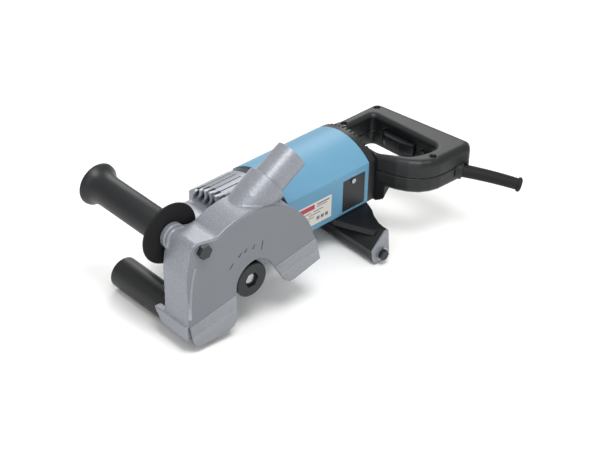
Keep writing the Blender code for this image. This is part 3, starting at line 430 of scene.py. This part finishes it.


# Setting marks sunk into the cover over the notch: one long mark at each end, short ones between. They are
# drawn as thin dark strips whose darkness is painted shade of the sunk marks
# Each place is x, z, lean in degrees and length
marks = {
    "places": (
        (-37.0, 37.2, 45, 8.8), (-23.3, 47.1, 56, 5.6), (-14.1, 49.7, 62, 5.6), (-1.8, 49.4, 70, 5.6),
        (11.2, 45.6, 79, 12.2),
    ),
    "width": 1.2, "hook": 2.6, "shortest": 6, "face": -119.0, "proud": 0.2,
}


def coverMarks():
    bm = bmesh.new()
    for x, z, lean, length in marks["places"]:
        front, back = marks["face"] - marks["proud"], marks["face"] + 0.2
        made = block(
            bm, (-length / 2 * mm, front * mm, -marks["width"] / 2 * mm),
            (length / 2 * mm, back * mm, marks["width"] / 2 * mm),
        )
        if length < marks["shortest"]:
            made += block(bm, (-length / 2 * mm, (front - 0.01) * mm, -marks["width"] / 2 * mm),
                          ((marks["width"] - length / 2) * mm, back * mm, marks["hook"] * mm))
        turn = Matrix.Rotation(-math.radians(lean), 4, "Y")
        bmesh.ops.transform(bm, matrix=Matrix.Translation((x * mm, 0, z * mm)) @ turn, verts=made)
    # painted shade: the marks take the dark colour of the shadow in their grooves
    addPiece("cover_marks", bm, "paintedRecessShade", "guard")


coverMarks()

# The feet of both legs are thickened in two steps that slope 10 degrees up to the rear
steps = {"slope": 10.0, "heights": (-3.6, -21.3), "proud": (0.55, 1.1), "edge": 0.35}


def legSteps():
    up = Vector((-math.sin(math.radians(steps["slope"])), 0, math.cos(math.radians(steps["slope"]))))
    for k, (height, proud) in enumerate(zip(steps["heights"], steps["proud"])):
        bm = bmesh.new()
        bm.from_mesh(nodes["guard_cover"].data)
        bmesh.ops.remove_doubles(bm, verts=bm.verts, dist=0.00001)
        bmesh.ops.transform(bm, matrix=toolFrame.inverted(), verts=bm.verts)
        geometry = bm.verts[:] + bm.edges[:] + bm.faces[:]
        bmesh.ops.bisect_plane(
            bm, geom=geometry, plane_co=Vector((0, 0, height * mm)), plane_no=up, clear_outer=True,
        )
        bmesh.ops.holes_fill(bm, edges=[e for e in bm.edges if e.is_boundary], sides=0)
        bmesh.ops.dissolve_limit(bm, angle_limit=math.radians(0.6), verts=bm.verts, edges=bm.edges)
        bmesh.ops.translate(bm, verts=bm.verts, vec=(0, -proud * mm, 0))
        bmesh.ops.transform(bm, matrix=toolFrame, verts=bm.verts)
        piece = addPiece("leg_step_" + str(k + 1), bm, "coverSpeckled", "guard", inTool=False)
        rounded(piece, steps["edge"] * mm, 2, sharpAngle)


legSteps()

# A round bead runs down the corner between the front wall and the cover
bead = {
    "sides": 16,
    "path": (
        (-91.0, 62.0), (-94.4, 52.0), (-96.8, 42.0), (-98.4, 30.0), (-99.2, 18.0), (-99.6, 4.0),
        (-99.6, -10.0),
    ),
    "radius": 2.2, "inset": -117.4,
}


def cornerBead():
    bm = bmesh.new()
    ring = bmesh.ops.create_circle(
        bm, segments=bead["sides"], radius=bead["radius"] * mm, cap_ends=True,
    )["verts"]
    start = Vector((bead["path"][0][0], bead["inset"], bead["path"][0][1])) * mm
    bmesh.ops.translate(bm, verts=ring, vec=start)
    face = bm.faces[:]
    for (x0, z0), (x1, z1) in zip(bead["path"], bead["path"][1:]):
        grown = bmesh.ops.extrude_face_region(bm, geom=face)["geom"]
        move = Vector((x1 - x0, 0, z1 - z0)) * mm
        bmesh.ops.translate(bm, verts=[v for v in grown if isinstance(v, bmesh.types.BMVert)], vec=move)
        bmesh.ops.delete(bm, geom=face, context="FACES_ONLY")
        face = [f for f in grown if isinstance(f, bmesh.types.BMFace)]
    addPiece("corner_bead", bm, "hammered", "guard", 60)


cornerBead()

# Generic print on the rating plate: a red band, a dark heading bar and rows of grey marks
plate = {
    "face": -47.35, "film": 0.08, "red": (
        (136, -11), (166, -4),
    ), "boxes": {"left": 170, "pitch": 7.5, "wide": 5,
                                                                             "low": -30, "high": -25},
    "rows": (
        (170, 192, -6, 2.0), (
            170, 188, -9.6, 1.1,
        ), (139, 160, -15, 1.2), (164, 181, -15, 1.2), (139, 152, -19, 1.2),
        (156, 176, -19, 1.2), (139, 165, -23, 1.2), (139, 158, -27, 1.2), (139, 150, -31, 1.2),
    ),
}


def film(bm, low, high):
    # A thin printed rectangle between two (x, z) corners of the plate
    block(
        bm, (low[0] * mm, (plate["face"] - plate["film"]) * mm, low[1] * mm),
        (high[0] * mm, plate["face"] * mm, high[1] * mm),
    )


def ratingPrint():
    red = bmesh.new()
    film(red, *plate["red"])
    addPiece("rating_red_band", red, "printRed", "root")
    grey = bmesh.new()
    for left, right, height, thick in plate["rows"]:
        film(grey, (left, height - thick / 2), (right, height + thick / 2))
    boxes = plate["boxes"]
    for k in range(3):
        left = boxes["left"] + boxes["pitch"] * k
        film(grey, (left, boxes["low"]), (left + boxes["wide"], boxes["high"]))
    addPiece("rating_marks", grey, "printGrey", "root")


ratingPrint()

# Wavy fins stand in front of the air outlet, one on each rib between its slots
fins = {"count": 8, "pitch": 10.0, "axisY": 6.2, "thick": 4.2, "front": 39.5, "back": 50.0, "bottom": 13.0,
        "wave": 2.4, "turns": 1.15, "archCentre": -33.5, "archRadius": 72.6, "cuts": 14,
        "waveLength": 25, "lean": 4.5, "leanFrom": 0.55, "edge": 0.7, "angle": 50}


def outletFins():
    bm = bmesh.new()
    for k in range(fins["count"]):
        offset = (k - (fins["count"] - 1) / 2) * fins["pitch"]
        top = fins["archCentre"] + math.sqrt(fins["archRadius"] ** 2 - (abs(offset) + fins["thick"] / 2) ** 2)
        low = (fins["front"] * mm, (fins["axisY"] + offset - fins["thick"] / 2) * mm, fins["bottom"] * mm)
        high = (fins["back"] * mm, (fins["axisY"] + offset + fins["thick"] / 2) * mm, top * mm)
        made = block(bm, low, high)
        upright = {e for v in made for e in v.link_edges if abs(e.verts[0].co.z - e.verts[1].co.z) > mm}
        bmesh.ops.subdivide_edges(bm, edges=list(upright), cuts=fins["cuts"])
    for vert in bm.verts:
        share = (vert.co.z / mm - fins["bottom"]) / fins["waveLength"]
        forward = (fins["back"] - vert.co.x / mm) / (fins["back"] - fins["front"])
        vert.co.y += fins["wave"] * mm * math.sin(share * math.tau * fins["turns"]) * forward
        vert.co.x += fins["lean"] * mm * max(0, share - fins["leanFrom"]) * forward
    piece = addPiece("outlet_fins", bm, "castGrey", "root", fins["angle"])
    rounded(piece, fins["edge"] * mm, 2, fins["angle"])


outletFins()

# A dark sheet behind the fins: painted shade for the shadowed throat of the outlet
throat = {"low": (45.2, -30.0, 12.0), "high": (45.9, 42.0, 30.0), "edge": 0.2}


def paintedThroatShade():
    bm = bmesh.new()
    block(bm, [c * mm for c in throat["low"]], [c * mm for c in throat["high"]])
    roundedEdges(bm, throat["edge"] * mm)
    # painted shade: a thin dark sheet stands for the shadow between the fins
    addPiece("painted_throat_shade", bm, "paintedRecessShade", "root")


paintedThroatShade()

# A square-shouldered boss holds the cord sleeve on the handle's near face
boss = {"start": (361.5, -98.5, -8.5), "aim": (0.64, -0.75, -0.11), "from": 8.0, "to": 17.5, "radius": 13.0,
        "shoulder": 11.4, "bore": 9.3, "sides": 40, "edge": 1.1, "angle": 40}


def sleeveBoss():
    bm = bmesh.new()
    bmesh.ops.create_cone(bm, cap_ends=False, segments=boss["sides"], radius1=boss["radius"] * mm,
                          radius2=boss["shoulder"] * mm, depth=(boss["to"] - boss["from"]) * mm)
    rim = [e for e in bm.edges if e.is_boundary and e.verts[0].co.z > 0]
    lip = bmesh.ops.extrude_edge_only(bm, edges=rim)["geom"]
    lip = [v for v in lip if isinstance(v, bmesh.types.BMVert)]
    bmesh.ops.scale(bm, verts=lip, vec=(boss["bore"] / boss["shoulder"],) * 2 + (1,))
    rim = [e for e in bm.edges if e.is_boundary and e.verts[0].co.z > 0]
    inner = bmesh.ops.extrude_edge_only(bm, edges=rim)["geom"]
    bmesh.ops.translate(
        bm, verts=[v for v in inner if isinstance(v, bmesh.types.BMVert)],
        vec=(0, 0, -(boss["to"] - boss["from"]) * mm),
    )
    loops = [e for e in bm.edges if e.is_boundary]
    bmesh.ops.bridge_loops(bm, edges=loops)
    aim = Vector(boss["aim"]).normalized()
    middle = Vector(boss["start"]) * mm + aim * (boss["from"] + boss["to"]) / 2 * mm
    turn = aim.to_track_quat("Z", "Y").to_matrix().to_4x4()
    bmesh.ops.transform(bm, matrix=Matrix.Translation(middle) @ turn, verts=bm.verts)
    piece = addPiece("sleeve_boss", bm, "blackNylon", "root")
    rounded(piece, boss["edge"] * mm, 3, boss["angle"])


sleeveBoss()

# Camera, light and floor
shot = {
    "azimuth": -46.3, "elevation": 31.46, "roll": 6.17, "distance": 2.4, "lens": 108.2, "sensor": 36,
    "target": (0.0599, 0.0678, 0.0057),
}


def setCamera():
    azimuth, elevation, roll = (math.radians(shot[key]) for key in ("azimuth", "elevation", "roll"))
    back = Vector(
        (
            math.sin(azimuth) * math.cos(elevation), -math.cos(azimuth) * math.cos(elevation),
            math.sin(elevation),
        )
    )
    right = Vector((math.cos(azimuth), math.sin(azimuth), 0))
    up = back.cross(right)
    turnedRight = math.cos(roll) * right + math.sin(roll) * up
    turnedUp = -math.sin(roll) * right + math.cos(roll) * up
    data = bpy.data.cameras.new("camera")
    data.lens = shot["lens"]
    data.sensor_width = shot["sensor"]
    camera = bpy.data.objects.new("camera", data)
    bpy.context.scene.collection.objects.link(camera)
    place = Vector(shot["target"]) + shot["distance"] * back
    turn = Matrix((turnedRight, turnedUp, back)).transposed().to_4x4()
    camera.matrix_world = Matrix.Translation(place) @ turn
    bpy.context.scene.camera = camera


def addLight(name, place, size, power):
    data = bpy.data.lights.new(name, "AREA")
    data.shape = "DISK"
    data.size = size
    data.energy = power
    lamp = bpy.data.objects.new(name, data)
    bpy.context.scene.collection.objects.link(lamp)
    lamp.location = place
    lamp.rotation_euler = (-Vector(place)).to_track_quat("-Z", "Y").to_euler()


# Place and width in metres, power in watts
lamps = {
    "key": ((-0.5, -0.6, 2.0), 1.0, 28),
    "fill": ((-1.6, -1.2, 0.9), 1.4, 9),
    "rim": ((1.2, 1.4, 1.5), 1.2, 14),
}
room = {"floor": "#F4F4F3", "floorRoughness": 0.7, "floorHalf": 6, "floorDrop": 0.0005, "sky": 0.75}


def setStage():
    bm = bmesh.new()
    bmesh.ops.create_grid(bm, x_segments=1, y_segments=1, size=room["floorHalf"])
    bmesh.ops.translate(bm, verts=bm.verts, vec=(0, 0, -room["floorDrop"]))
    mesh = bpy.data.meshes.new("floor")
    bm.to_mesh(mesh)
    bm.free()
    floor = bpy.data.objects.new("floor", mesh)
    bpy.context.scene.collection.objects.link(floor)
    made, tree, shader = newMaterial("pale_floor", room["floor"], room["floorRoughness"])
    floor.data.materials.append(made)
    world = bpy.data.worlds.new("studio")
    world.use_nodes = True
    world.node_tree.nodes["Background"].inputs["Color"].default_value = (1, 1, 1, 1)
    world.node_tree.nodes["Background"].inputs["Strength"].default_value = room["sky"]
    bpy.context.scene.world = world
    for name, (place, wide, power) in lamps.items():
        addLight(name, place, wide, power)
    bpy.context.scene.view_settings.view_transform = "Standard"


setCamera()
setStage()
print("stage ready")
